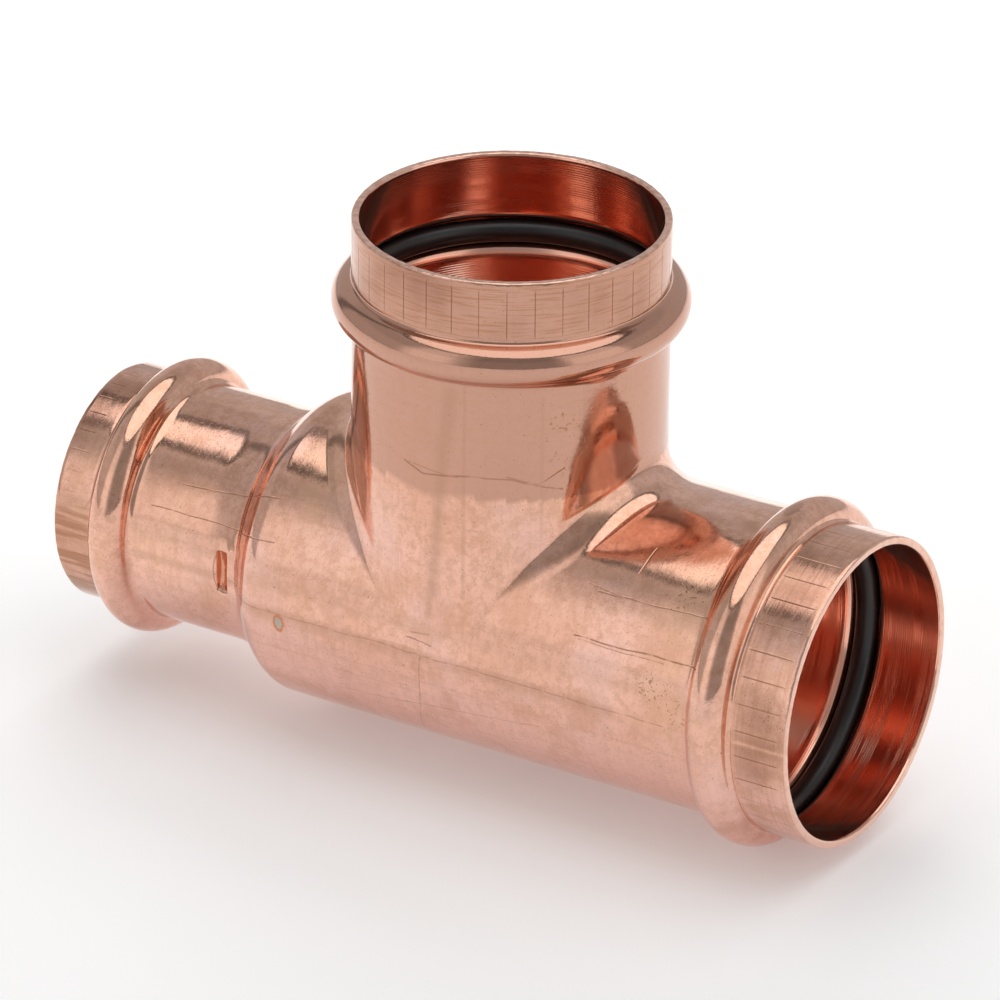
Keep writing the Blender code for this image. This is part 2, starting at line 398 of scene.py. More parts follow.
def add_leg(mesh, leg):
    """Both faces of the leg's wall, joined over the rim. Returns its last outer and inner rings."""
    ends = []
    for inside, depth in ((0, 0.0), (1, WALL)):
        collar = collar_profile(leg, depth)
        count = ROUND if inside else ROUND * COLLAR_RATIO
        rows = []
        for along, radius in collar:
            if not inside:
                radius = radius - score_depth(leg, along, count)
            rows.append(mesh.add(ring_points(leg, along, radius, count), COLLAR, inside))
        rim_row = rows[0]
        for first, second in zip(rows, rows[1:]):
            mesh.loft(first, second, True)
        profile, zones = inner_profile(leg, depth)
        inner_rows = [
            mesh.add(ring_points(leg, along, radius, ROUND), zone, inside)
            for (along, radius), zone in zip(profile, zones)
        ]
        if inside:
            mesh.loft(rows[-1], inner_rows[0], True)
        else:
            mesh.stitch(inner_rows[0], rows[-1])
        for first, second in zip(inner_rows, inner_rows[1:]):
            mesh.loft(first, second, True)
        last = mesh.add(ring_points(leg, CROSSING_REACH, BODY_RADIUS - depth, ROUND), BODY, inside)
        mesh.loft(inner_rows[-1], last, True)
        ends.append((rim_row, last))
    add_rim(mesh, leg, ends[0][0], ends[1][0])
    return ends[0][1], ends[1][1]


def add_rim(mesh, leg, outer_row, inner_row):
    """The cut end of the wall, with both its edges rounded."""
    outer_centre = (leg.reach - RIM_ROUND, leg.radius - RIM_ROUND)
    inner_centre = (leg.reach - RIM_ROUND, leg.radius - WALL + RIM_ROUND)
    over = arc(outer_centre, RIM_ROUND, math.pi / 2, 0, RIM_STEPS)[1:]
    under = arc(inner_centre, RIM_ROUND, 0, -math.pi / 2, RIM_STEPS)[:-1]
    count = ROUND * COLLAR_RATIO
    previous = outer_row
    for along, radius in np.vstack([over, under]):
        row = mesh.add(ring_points(leg, along, radius, count), RIM, 0)
        mesh.loft(previous, row, True)
        previous = row
    mesh.stitch(inner_row, previous)


def crotch_fillet(turn):
    """The fillet between the tubes, widest between them and tightest at the V on either side."""
    return V_FILLET + (CROTCH_FILLET - V_FILLET) * abs(math.sin(turn))


def crotch_string(side, y, height, fillet):
    """The points between a run ring and a branch ring, in a plane of constant y."""
    centre = height + fillet
    steps = int((CROSSING_REACH - CROTCH_FILLET) / SPACING)
    share = np.linspace(0, 1, steps + 1)[1:, None]
    bend = arc((centre, centre), -fillet, math.pi / 2, 0, CROTCH_STEPS)
    along = np.array([CROSSING_REACH, height]) + (bend[0] - [CROSSING_REACH, height]) * share
    up_steps = steps // 3
    share = np.linspace(0, 1, up_steps + 1)[1:-1, None]
    up = bend[-1] + (np.array([height, CROSSING_REACH]) - bend[-1]) * share
    plane = np.vstack([along, bend[1:], up])
    points = np.column_stack([side * plane[:, 0], np.full(len(plane), y), plane[:, 1]])
    return points, len(along) - 1, len(along) - 1 + CROTCH_STEPS


def add_crossing(mesh, rings, depth, inside):
    """The crossing of the two tubes, between the first rings of the three legs."""
    run_ring, branch_ring, reduced_ring = rings
    radius = BODY_RADIUS - depth
    half = ROUND // 2
    turns = np.arange(half + 1) * (math.pi / half)
    gussets = {}
    for side, start_ring in ((1, run_ring), (-1, reduced_ring)):
        previous = None
        for j, turn in enumerate(turns):
            y, height = radius * math.cos(turn), radius * math.sin(turn)
            points, bend_start, bend_end = crotch_string(side, y, height, crotch_fillet(turn) + depth)
            inner = mesh.add(points, BODY, inside)
            top = branch_ring[j if side > 0 else (ROUND - j) % ROUND]
            string = np.concatenate([[start_ring[j]], inner, [top]])
            if previous is not None:
                mesh.loft(previous, string, False)
            previous = string
            if j in (0, half):
                gussets[(side, j)] = inner[bend_start:bend_end + 1]
    add_belly(mesh, run_ring, reduced_ring, radius, V_FILLET + depth, inside)
    for j in (0, half):
        add_gusset(mesh, gussets[(1, j)], gussets[(-1, j)], inside)


def add_belly(mesh, run_ring, reduced_ring, radius, fillet, inside):
    """The underside, in straight lines from one end of the run to the other."""
    steps = int((CROSSING_REACH - CROTCH_FILLET) / SPACING)
    flank = np.linspace(CROSSING_REACH, fillet, steps + 1)[1:]
    middle = np.linspace(fillet, -fillet, GUSSET_STEPS + 1)[1:-1]
    stations = np.concatenate([flank, middle, -flank[::-1]])
    previous = None
    for j in range(ROUND // 2, ROUND + 1):
        turn = j * 2 * math.pi / ROUND
        y, z = radius * math.cos(turn), radius * math.sin(turn)
        line = np.column_stack([stations, np.full(len(stations), y), np.full(len(stations), z)])
        row = np.concatenate([[run_ring[j % ROUND]], mesh.add(line, BODY, inside), [reduced_ring[j % ROUND]]])
        if previous is not None:
            mesh.loft(previous, row, False)
        previous = row


def add_gusset(mesh, right, left, inside):
    """The flat patch at a V, between the two bends and the straight line under them."""
    points = np.concatenate(mesh.points)
    previous = None
    for k, (a, b) in enumerate(zip(right, left)):
        if k == len(right) - 1:
            mesh.fan(previous, a)
            return
        share = np.linspace(0, 1, GUSSET_STEPS + 1)[1:-1, None]
        row = np.concatenate([[a], mesh.add(points[a] + (points[b] - points[a]) * share, BODY, inside), [b]])
        if previous is not None:
            mesh.loft(previous, row, False)
        previous = row


def smooth_step(value, low, high):
    share = np.clip((value - low) / (high - low), 0, 1)
    return share * share * (3 - 2 * share)


def mound(along, across, place, size):
    """A soft round rise, 1 at its place."""
    return np.exp(-(((along - place[0]) / size[0]) ** 2) - ((across - place[1]) / size[1]) ** 2)


def punch_depth(points, outside):
    """How far in the stop punches press the reduced tube, on its front and its back."""
    along = -points[:, 0]
    radius = np.hypot(points[:, 1], points[:, 2])
    on_tube = (along > STOP_REGION[0]) & (along < STOP_REGION[1]) & (radius < STOP_REGION_RADIUS)
    across = np.arctan2(points[:, 2], np.abs(points[:, 1])) * REDUCED.radius
    from_centre = along - STOP_CENTRE
    edge = STOP_EDGE / 2
    slot = 1 - smooth_step(np.abs(from_centre), STOP_HALF_WIDTH - edge, STOP_HALF_WIDTH + edge)
    slot *= 1 - smooth_step(np.abs(across), STOP_HALF_LENGTH - edge, STOP_HALF_LENGTH + edge)
    slope = 0.75 + 0.25 * from_centre / STOP_HALF_WIDTH
    reach = np.clip(1 - (across / (STOP_HALF_LENGTH * 1.15)) ** 2, 0, 1)
    dish = reach * (1 - smooth_step(from_centre, 0, STOP_HALF_WIDTH + STOP_DISH_LENGTH * np.sqrt(reach)))
    dish *= smooth_step(from_centre, -STOP_HALF_WIDTH, 0)
    soft = mound(from_centre, across, (0.0, 0.0), STOP_SINK_SIZE)
    bulge = mound(from_centre, across, STOP_BULGE_PLACE, STOP_BULGE_SIZE)
    pressed = np.where(
        outside,
        slot * slope * STOP_DEPTH + dish * STOP_DISH_DEPTH + soft * STOP_SINK - bulge * STOP_BULGE,
        soft * STOP_INNER_HEIGHT,
    )
    return np.where(on_tube, pressed, 0.0)


def flare(points):
    """The gentle widening of the small tube just before the shoulder."""
    rise = 1 - smooth_step(-points[:, 0], *FLARE_SPAN)
    fade = 1 - smooth_step(np.hypot(points[:, 1], points[:, 2]), *FLARE_FADE)
    return np.where(points[:, 0] < -SHOULDER_START, FLARE_HEIGHT * rise * fade, 0.0)


def pit_profile(points):
    """A shallow round mark with a raised lip, and where it is for the material."""
    away = (points - np.array(PIT_CENTRE)) / np.array([PIT_NARROWING, 1.0, 1.0])
    distance = np.linalg.norm(away, axis=1) / PIT_RADIUS
    hollow = -PIT_DEPTH * (1 - smooth_step(distance, 0.55, 0.95))
    lip = PIT_LIP * np.exp(-(((distance - 1.1) / 0.2) ** 2))
    return hollow + lip, distance


def die_line(points):
    """The raised line that the two halves of the forming die leave at the height of the run's axis."""
    fade = smooth_step(np.abs(points[:, 1]), *DIE_LINE_FADE)
    fade *= np.where(points[:, 0] > RUN.reach - COLLAR_LENGTH, DIE_LINE_COLLAR_SHARE, 1.0)
    return fade * DIE_LINE_HEIGHT * np.exp(-((points[:, 2] / DIE_LINE_HALF_WIDTH) ** 2))


def wave(points, scale, seed):
    """Smooth noise at each point, with lumps about scale across."""
    offset = Vector((seed * 13.7, seed * 5.1, seed * 9.3))
    return np.array([noise.noise(Vector(p) / scale + offset) for p in points])


def read(data, name, width):
    values = np.empty(len(data) * width, np.float32)
    data.foreach_get(name, values)
    return values.reshape(-1, width).astype(float) if width > 1 else values.astype(float)


def shape_details(mesh, outside, zones):
    """Moves every point along its normal: hand-made unevenness, punches, pit and die line."""
    points = read(mesh.vertices, "co", 3)
    normals = read(mesh.vertices, "normal", 3)
    outward = np.where(outside, 1.0, -1.0)
    broad = wave(points, BROAD_LENGTH, 1) * BROAD_HEIGHT
    ripple = wave(points, RIPPLE_LENGTH, 2) * RIPPLE_HEIGHT
    free = np.where((zones == RIM) | (zones == COLLAR), 0.3, 1.0)
    move = (broad + ripple - SKIN_MARGIN) * free * outward
    move[zones == RIM] += (wave(points[zones == RIM], BURR_LENGTH, 3) - 1.0) * BURR_DEPTH
    punched = punch_depth(points, outside)
    move -= punched * outward
    move += flare(points) * outward
    hollow, distance = pit_profile(points)
    move += np.where(outside, hollow, 0)
    on_run = (zones != BODY) | (np.abs(points[:, 2]) < 6 * MM)
    move += np.where(outside & on_run & (np.abs(points[:, 0]) < 80 * MM), die_line(points), 0)
    moved = points + normals * move[:, None]
    mesh.vertices.foreach_set("co", moved.astype(np.float32).ravel())
    mesh.update()
    return distance, np.where(outside, punched / STOP_DEPTH, 0)


def set_attribute(mesh, name, values):
    attribute = mesh.attributes.get(name) or mesh.attributes.new(name, "FLOAT", "POINT")
    attribute.data.foreach_set("value", np.asarray(values, np.float32))


def build_body():
    builder = MeshBuilder()
    ends = [add_leg(builder, leg) for leg in LEGS]
    for inside, depth in ((0, 0.0), (1, WALL)):
        add_crossing(builder, [pair[inside] for pair in ends], depth, inside)
    mesh = bpy.data.meshes.new("tee_body_fine")
    mesh.from_pydata(np.concatenate(builder.points).tolist(), [], builder.faces)
    set_attribute(mesh, "inside", np.concatenate(builder.inside))
    set_attribute(mesh, "zone", np.concatenate(builder.zones))
    weld = bmesh.new()
    weld.from_mesh(mesh)
    bmesh.ops.remove_doubles(weld, verts=weld.verts, dist=0.002 * MM)
    bmesh.ops.recalc_face_normals(weld, faces=weld.faces)
    weld.to_mesh(mesh)
    weld.free()
    mesh.shade_smooth()
    outside = read(mesh.attributes["inside"].data, "value", 1) < 0.5
    zones = np.round(read(mesh.attributes["zone"].data, "value", 1)).astype(int)
    pit_distance, pressed = shape_details(mesh, outside, zones)
    add_material_masks(mesh, outside, zones, pit_distance, pressed)
    return mesh


def add_material_masks(mesh, outside, zones, pit_distance, pressed):
    points = read(mesh.vertices, "co", 3)
    on_branch = (points[:, 2] > CROSSING_REACH - 4 * MM).astype(float)
    set_attribute(mesh, "branch", on_branch)
    small = points[:, 0] < SMALL_COLLAR_X
    collar = (zones == COLLAR) & outside
    set_attribute(mesh, "collar", collar & ~small)
    set_attribute(mesh, "small_collar", (collar & small) * (1 - smooth_step(points[:, 2], 0, 12 * MM)))
    set_attribute(mesh, "cut_end", zones == RIM)
    # Lower parts of the body, where the colour carries a painted reflection of the floor.
    set_attribute(mesh, "painted_floor_reflection", 1 - smooth_step(points[:, 2], -16 * MM, 2 * MM))
    set_attribute(mesh, "pressed", pressed)
    set_attribute(mesh, "pit", np.where(outside, np.clip(2.0 - pit_distance, 0, 2.0) / 2.0, 0))
    across = np.where(on_branch > 0.5, points[:, 0], points[:, 2])
    radius = np.hypot(across, points[:, 1])
    # The scored lines' depth, for their painted shade.
    set_attribute(mesh, "score_shade", np.clip(score_shade_mask(points, radius, zones, outside), 0, 1))


def score_shade_mask(points, radius, zones, outside):
    """How deep each collar point lies in a scored line, from 0 to 1, for the painted shade in its groove."""
    leg_radius = np.where(points[:, 0] < SMALL_COLLAR_X, REDUCED.radius, BODY_RADIUS)
    sunk = (leg_radius - radius) / (SCORE_DEPTH * 0.8) - 0.25
    return np.where((zones == COLLAR) & outside, sunk, 0)


# ---------------------------------------------------------------- materials


class Nodes:
    """Short calls for building a material's nodes."""

    def __init__(self, owner):
        owner.use_nodes = True
        self.tree = owner.node_tree
        self.shader = self.tree.nodes.get("Principled BSDF") or self.tree.nodes["Background"]

    def node(self, kind, inputs=None, **settings):
        made = self.tree.nodes.new(kind)
        for name, value in settings.items():
            setattr(made, name, value)
        for name, value in (inputs or {}).items():
            self.put(made.inputs[name], value)
        return made

    def put(self, socket, value):
        if isinstance(value, bpy.types.NodeSocket):
            self.tree.links.new(value, socket)
        else:
            socket.default_value = value

    def math(self, operation, first, second=0.0, clamp=False):
        made = self.node("ShaderNodeMath", operation=operation, use_clamp=clamp)
        self.put(made.inputs[0], first)
        self.put(made.inputs[1], second)
        return made.outputs[0]

    def between(self, value, low, high, start=0.0, end=1.0, kind="SMOOTHSTEP"):
        made = self.node("ShaderNodeMapRange", {"Value": value}, interpolation_type=kind)
        made.inputs["From Min"].default_value = low
        made.inputs["From Max"].default_value = high
        made.inputs["To Min"].default_value = start
        made.inputs["To Max"].default_value = end
        return made.outputs["Result"]

    def attribute(self, name):
        return self.node("ShaderNodeAttribute", attribute_name=name).outputs["Fac"]

    def stretch(self, scale):
        """Object coordinates, scaled by a different amount along each axis."""
        place = self.node("ShaderNodeTexCoord").outputs["Object"]
        made = self.node("ShaderNodeVectorMath", operation="MULTIPLY")
        self.put(made.inputs[0], place)
        made.inputs[1].default_value = scale
        return made.outputs[0]

    def noise(self, vector, scale, detail=3.0, roughness=0.55):
        inputs = {"Vector": vector, "Scale": scale, "Detail": detail, "Roughness": roughness}
        return self.node("ShaderNodeTexNoise", inputs).outputs["Fac"]

    def mix(self, share, first, second):
        made = self.node("ShaderNodeMix", data_type="RGBA")
        self.put(made.inputs[0], share)
        self.put(made.inputs[6], first)
        self.put(made.inputs[7], second)
        return made.outputs[2]

    def blend(self, share, first, second):
        made = self.node("ShaderNodeMix", data_type="FLOAT")
        self.put(made.inputs[0], share)
        self.put(made.inputs[2], first)
        self.put(made.inputs[3], second)
        return made.outputs[0]

    def window(self, value, low, high, soft):
        """One between low and high, falling to nothing over soft on either side."""
        rise = self.between(value, low - soft, low + soft)
        return self.math("MULTIPLY", rise, self.between(value, high - soft, high + soft, 1.0, 0.0))

    def bump(self, height, distance, strength, normal=None):
        inputs = {"Height": height, "Distance": distance, "Strength": strength}
        made = self.node("ShaderNodeBump", inputs)
        if normal is not None:
            self.put(made.inputs["Normal"], normal)
        return made.outputs["Normal"]


def streaks(n, fine, slow, detail=2.0):
    """Noise drawn out round the legs: fine along each leg's axis, slow about it."""
    along_x = n.noise(n.stretch((fine, slow, slow)), 1.0, detail)
    along_z = n.noise(n.stretch((slow, slow, fine)), 1.0, detail)
    return n.blend(n.attribute("branch"), along_x, along_z)


def die_streaks(n, fine, slow, detail=2.0):
    """Noise drawn out along the legs."""
    along_x = n.noise(n.stretch((slow, fine, fine)), 1.0, detail)
    along_z = n.noise(n.stretch((fine, fine, slow)), 1.0, detail)
    return n.blend(n.attribute("branch"), along_x, along_z)


def segment_marks(n, point, marks):
    """How near each point is to any of a table of straight marks, from 0 to 1. Millimetres."""
    total = None
    for start_u, start_v, end_u, end_v, half_width, strength in marks:
        length = (end_u - start_u, end_v - start_v, 0.0)
        away = n.node("ShaderNodeVectorMath", operation="SUBTRACT")
        n.put(away.inputs[0], point)
        away.inputs[1].default_value = (start_u, start_v, 0.0)
        along = n.node("ShaderNodeVectorMath", operation="DOT_PRODUCT")
        n.put(along.inputs[0], away.outputs[0])
        along.inputs[1].default_value = tuple(c / (length[0] ** 2 + length[1] ** 2) for c in length)
        share = n.math("ADD", along.outputs["Value"], 0.0, clamp=True)
        foot = n.node("ShaderNodeVectorMath", operation="SCALE")
        foot.inputs[0].default_value = length
        n.put(foot.inputs["Scale"], share)
        gap = n.node("ShaderNodeVectorMath", operation="DISTANCE")
        n.put(gap.inputs[0], away.outputs[0])
        n.put(gap.inputs[1], foot.outputs[0])
        mark = n.between(gap.outputs["Value"], 0.0, half_width, strength, 0.0)
        total = mark if total is None else n.math("MAXIMUM", total, mark)
    return total


def patch(n, place, centre, radius):
    """One in the middle of a patch, nothing beyond it. Millimetres about the crossing."""
    gap = n.node("ShaderNodeVectorMath", operation="DISTANCE")
    n.put(gap.inputs[0], place)
    gap.inputs[1].default_value = centre
    return n.between(gap.outputs["Value"], radius * 0.3, radius, 1.0, 0.0)


def unrolled(n, place):
    """Each leg's surface laid flat, in millimetres: the run by X and angle, the branch by angle and Z."""
    parts = n.node("ShaderNodeSeparateXYZ", {"Vector": place})
    x, y, z = parts.outputs
    front = n.math("MULTIPLY", y, -1.0)
    turn = n.math("MULTIPLY", n.math("ARCTAN2", z, front), BODY_RADIUS / MM)
    round_branch = n.math("MULTIPLY", n.math("ARCTAN2", x, front), BODY_RADIUS / MM)
    run = n.node("ShaderNodeCombineXYZ", {"X": x, "Y": turn}).outputs[0]
    branch = n.node("ShaderNodeCombineXYZ", {"X": round_branch, "Y": z}).outputs[0]
    return run, branch


class Surface(NamedTuple):
    """The places, masks and noises that the copper's colour, gloss and bumps share."""

    whole: bpy.types.NodeSocket  # object coordinates
    place: bpy.types.NodeSocket  # millimetres about the crossing
    inside: bpy.types.NodeSocket
    outside: bpy.types.NodeSocket
    collar: bpy.types.NodeSocket
    on_branch: bpy.types.NodeSocket
    cloud: bpy.types.NodeSocket
    rings: bpy.types.NodeSocket
    lines: bpy.types.NodeSocket
    scuffs: bpy.types.NodeSocket
    marks: bpy.types.NodeSocket
    painted_bands_and_lines: bpy.types.NodeSocket


def read_surface(n):
    inside, on_branch = n.attribute("inside"), n.attribute("branch")
    outside = n.math("SUBTRACT", 1.0, inside)
    whole = n.stretch((1, 1, 1))
    centred = n.node("ShaderNodeVectorMath", operation="SUBTRACT")
    n.put(centred.inputs[0], whole)
    centred.inputs[1].default_value = CROSSING
    scaled = n.node("ShaderNodeVectorMath", operation="SCALE")
    n.put(scaled.inputs[0], centred.outputs[0])
    scaled.inputs["Scale"].default_value = 1 / MM
    place = scaled.outputs[0]
    marks, painted_bands_and_lines = marks_and_painted_bands(n, whole, place, outside, on_branch)
    return Surface(
        whole=whole,
        place=place,
        inside=inside,
        outside=outside,
        collar=n.attribute("collar"),
        on_branch=on_branch,
        cloud=n.noise(whole, 42, 4.0),
        rings=streaks(n, 1700, 38),
        lines=die_streaks(n, 1500, 14),
        scuffs=n.math("MULTIPLY", hair_scratches(n, whole), outside),
        marks=marks,
        painted_bands_and_lines=painted_bands_and_lines,
    )


def marks_and_painted_bands(n, whole, place, outside, on_branch):
    """The scratches, a little shaken and broken up, and the broad stripes of painted dark reflection with the
    branch's fine lines.
    """
    run_flat, branch_flat = unrolled(n, place)
    wobble = n.node("ShaderNodeTexNoise", {"Vector": whole, "Scale": 110.0, "Detail": 4.0})
    shaken = []
    for flat in (run_flat, branch_flat):
        shake = n.node("ShaderNodeVectorMath", operation="MULTIPLY_ADD")
        n.put(shake.inputs[0], wobble.outputs["Color"])
        shake.inputs[1].default_value = (1.3, 1.3, 0.0)
        n.put(shake.inputs[2], flat)
        shaken.append(shake.outputs[0])
    breaks = n.between(n.noise(whole, 420, 2.0), 0.36, 0.5, 0.35, 1.0)
    on_run = n.math("SUBTRACT", 1.0, on_branch)
    run_marks = n.math("MULTIPLY", segment_marks(n, shaken[0], RUN_MARKS), on_run)
    branch_marks = n.math("MULTIPLY", segment_marks(n, shaken[1], BRANCH_MARKS), on_branch)
    marks = n.math("MULTIPLY", n.math("MAXIMUM", run_marks, branch_marks), outside)
    run_painted_bands = n.math("MULTIPLY", segment_marks(n, run_flat, RUN_PAINTED_BANDS), on_run)
    branch_painted_bands_and_lines = segment_marks(n, branch_flat, BRANCH_PAINTED_BANDS + BRANCH_LINES)
    painted_bands_and_lines = n.math("MULTIPLY", n.math("MAXIMUM", run_painted_bands, branch_painted_bands_and_lines), outside)
    return n.math("MULTIPLY", marks, breaks), painted_bands_and_lines


def clean_copper(n, surface):
    """Bare metal, with gold and pink patches, and painted lighter and pinker underneath as a painted
    reflection of the white floor.
    """
    clean = n.mix(n.between(surface.cloud, 0.35, 0.65), (0.84, 0.465, 0.34, 1), (0.92, 0.54, 0.415, 1))
    mottle = n.noise(surface.whole, 520, 6.0, 0.75)
    clean = n.mix(n.between(mottle, 0.42, 0.60, 0.0, 0.7), clean, (0.70, 0.375, 0.26, 1))
    gold = n.noise(n.stretch((31, 27, 35)), 1.0, 5.0, 0.62)
    clean = n.mix(n.between(gold, 0.50, 0.66, 0.0, 0.55), clean, (0.90, 0.545, 0.37, 1))
    pink = n.noise(n.stretch((44, 52, 39)), 1.0, 5.0, 0.62)
    clean = n.mix(n.between(pink, 0.50, 0.66, 0.0, 0.5), clean, (0.90, 0.57, 0.50, 1))
    # Painted reflection: the lower body's colour lighter and pinker, as if the white floor showed in it.
    painted_floor_reflection = n.math("MULTIPLY", n.attribute("painted_floor_reflection"), 0.55)
    return n.mix(painted_floor_reflection, clean, (0.98, 0.63, 0.56, 1))


def add_tarnish(n, surface, clean):
    """Brown stains, the branch's colour made darker, and the rings and streaks that the tools drew."""
    collar, on_branch = surface.collar, surface.on_branch
    brown = n.noise(surface.whole, 95, 6.0, 0.7)
    stain_share = n.math("MULTIPLY", n.between(brown, 0.48, 0.66), n.blend(collar, 0.5, 0.7))
    stained = n.mix(stain_share, clean, (0.68, 0.36, 0.235, 1))
    # The branch's colour made darker and browner all over.
    branch_darkened = n.mix(n.math("MULTIPLY", on_branch, 0.9), stained, (0.585, 0.32, 0.235, 1))
    height = n.node("ShaderNodeSeparateXYZ", {"Vector": surface.place}).outputs["Z"]
    rolled = n.math("MULTIPLY", n.window(height, 40.0, 56.0, 2.0), on_branch)
    on_collar = n.math("MULTIPLY", collar, n.blend(on_branch, 0.15, 0.4))
    ring_share = n.math("ADD", 0.11, n.math("MAXIMUM", on_collar, n.math("MULTIPLY", rolled, 0.22)))
    ringed = n.math("MULTIPLY", n.between(surface.rings, 0.42, 0.68), ring_share)
    tarnish = n.mix(ringed, branch_darkened, (0.60, 0.32, 0.20, 1))
    short = n.math("MULTIPLY", n.between(streaks(n, 2600, 130, 3.0), 0.50, 0.62), collar)
    short_share = n.math("MULTIPLY", short, n.blend(on_branch, 0.15, 0.75))
    tarnish = n.mix(short_share, tarnish, (0.50, 0.245, 0.145, 1))
    drawn = n.between(die_streaks(n, 900, 60, 4.0), 0.44, 0.60, 0.55, 1.0)
    return n.mix(n.math("MULTIPLY", drawn, n.attribute("small_collar")), tarnish, (0.45, 0.22, 0.135, 1))


def add_wear(n, surface, tarnish):
    """Hair scratches, die lines and the broad stripes of painted dark reflection, then the specks, marks and
    the scored lines' painted shade over them.
    """
    scuffed = n.mix(n.math("MULTIPLY", surface.scuffs, 0.30), tarnish, (0.50, 0.24, 0.15, 1))
    lined = n.mix(n.between(surface.lines, 0.52, 0.75, 0.0, 0.16), scuffed, (0.55, 0.28, 0.18, 1))
    # Painted reflection: the broad stripes darken the copper as a dark surround would in its shine.
    with_painted_bands = n.mix(surface.painted_bands_and_lines, lined, (0.50, 0.27, 0.18, 1))
    clusters = None
    for centre, radius in SPECK_PATCHES:
        spot = patch(n, surface.place, centre, radius)
        clusters = spot if clusters is None else n.math("MAXIMUM", clusters, spot)
    limit = n.blend(clusters, 0.725, 0.61)
    speck = n.math("SUBTRACT", n.noise(surface.whole, 1900, 1.0), limit)
    speckled = n.mix(n.between(speck, 0.0, 0.06, 0.0, 0.7), with_painted_bands, (0.34, 0.16, 0.06, 1))
    marked = n.mix(surface.marks, speckled, (0.30, 0.12, 0.06, 1))
    # Painted shade: the scored lines darkened by their depth.
    return n.mix(n.between(n.attribute("score_shade"), 0.0, 1.0, 0.0, 0.85), marked, (0.24, 0.10, 0.06, 1))


def add_punch_and_pit(n, surface, worn):
    """The stop punch's painted shade round its edge and painted orange reflection in its slot, and the pit's
    rusty ring and grey middle.
    """
    pressed = n.attribute("pressed")
    # Painted shade at the slot's edge.
    press_edge_shade = n.math("MULTIPLY", n.window(pressed, 0.20, 0.30, 0.04), 0.6)
    punched = n.mix(press_edge_shade, worn, (0.34, 0.15, 0.09, 1))
    # Painted reflection: the slot's inside orange, as copper shining in copper.
    punched = n.mix(n.between(pressed, 0.55, 0.75, 0.0, 0.7), punched, (0.66, 0.27, 0.15, 1))
    ragged = n.between(n.noise(surface.whole, 800, 2.0), 0.3, 0.7, -0.12, 0.12)
    pit_edge = n.math("ADD", n.attribute("pit"), ragged)
    ringed_pit = n.mix(n.between(pit_edge, 0.18, 0.46, 0.0, 0.85), punched, (0.60, 0.20, 0.09, 1))
    return n.mix(n.between(pit_edge, 0.52, 0.62), ringed_pit, (0.50, 0.42, 0.34, 1))


def inside_copper(n, surface):
    """The duller metal inside, with its rings."""
    dull = n.mix(n.between(surface.cloud, 0.35, 0.65), (0.92, 0.46, 0.33, 1), (0.97, 0.53, 0.41, 1))
    return n.mix(n.between(surface.rings, 0.42, 0.68, 0.0, 0.3), dull, (0.76, 0.36, 0.25, 1))


def copper_colour(n, surface):
    tarnish = add_tarnish(n, surface, clean_copper(n, surface))
    outer = add_punch_and_pit(n, surface, add_wear(n, surface, tarnish))
    faces = n.mix(surface.inside, outer, inside_copper(n, surface))
    patchy = n.between(n.noise(surface.whole, 700, 3.0), 0.35, 0.6, 0.4, 1.0)
    return n.mix(n.math("MULTIPLY", n.attribute("cut_end"), patchy), faces, (0.90, 0.58, 0.46, 1))


def copper_roughness(n, surface):
    smear = n.between(n.noise(surface.whole, 60, 5.0, 0.6), 0.3, 0.7, 0.05, 0.12)
    ringed = n.math("MULTIPLY", n.between(surface.rings, 0.35, 0.7), n.blend(surface.collar, 0.03, 0.08))
    rough = n.math("ADD", smear, ringed)
    shares = (
        (n.attribute("cut_end"), 0.14),
        (surface.inside, 0.07),
        (surface.collar, 0.04),
        (surface.marks, 0.15),
    )
    for mask, share in shares:
        rough = n.math("ADD", rough, n.math("MULTIPLY", mask, share))
    return rough


def copper_normal(n, surface):
    """Bumps from the turned rings up to the marks, each on top of the one before."""
    normal = n.bump(turned_rings(n, surface.place, surface.inside), 0.00003, 0.55)
    normal = n.bump(surface.rings, 0.00002, n.blend(surface.collar, 0.10, 0.5), normal)
    normal = n.bump(surface.lines, 0.00002, 0.14, normal)
    normal = n.bump(surface.scuffs, 0.00001, 0.3, normal)
    normal = n.bump(n.noise(surface.whole, 1500, 2.0), 0.000012, 0.25, normal)
    normal = n.bump(n.noise(surface.whole, 420, 3.0), 0.00005, 0.24, normal)
    return n.bump(n.math("MULTIPLY", surface.marks, -1.0), 0.00006, 0.8, normal)


def copper_material():
    material = bpy.data.materials.new("drawn_copper")
    n = Nodes(material)
    surface = read_surface(n)
    n.put(n.shader.inputs["Base Color"], copper_colour(n, surface))
    n.shader.inputs["Metallic"].default_value = 1.0
    n.put(n.shader.inputs["Roughness"], copper_roughness(n, surface))
    n.put(n.shader.inputs["Normal"], copper_normal(n, surface))
    return material


def hair_scratches(n, place):
    """Short fine scratches in several directions, where drawn-out noise peaks."""
    total = None
    for turn, seed in HAIR_TURNS:
        turned = n.node("ShaderNodeVectorRotate", rotation_type="EULER_XYZ")
        n.put(turned.inputs["Vector"], place)
        turned.inputs["Rotation"].default_value = turn
        drawn = n.node("ShaderNodeVectorMath", operation="MULTIPLY_ADD")
        n.put(drawn.inputs[0], turned.outputs[0])
        drawn.inputs[1].default_value = (130, 2600, 2600)
        drawn.inputs[2].default_value = (seed, seed, seed)
        hair = n.between(n.noise(drawn.outputs[0], 1.0, 1.0), 0.67, 0.74)
        total = hair if total is None else n.math("MAXIMUM", total, hair)
    return total


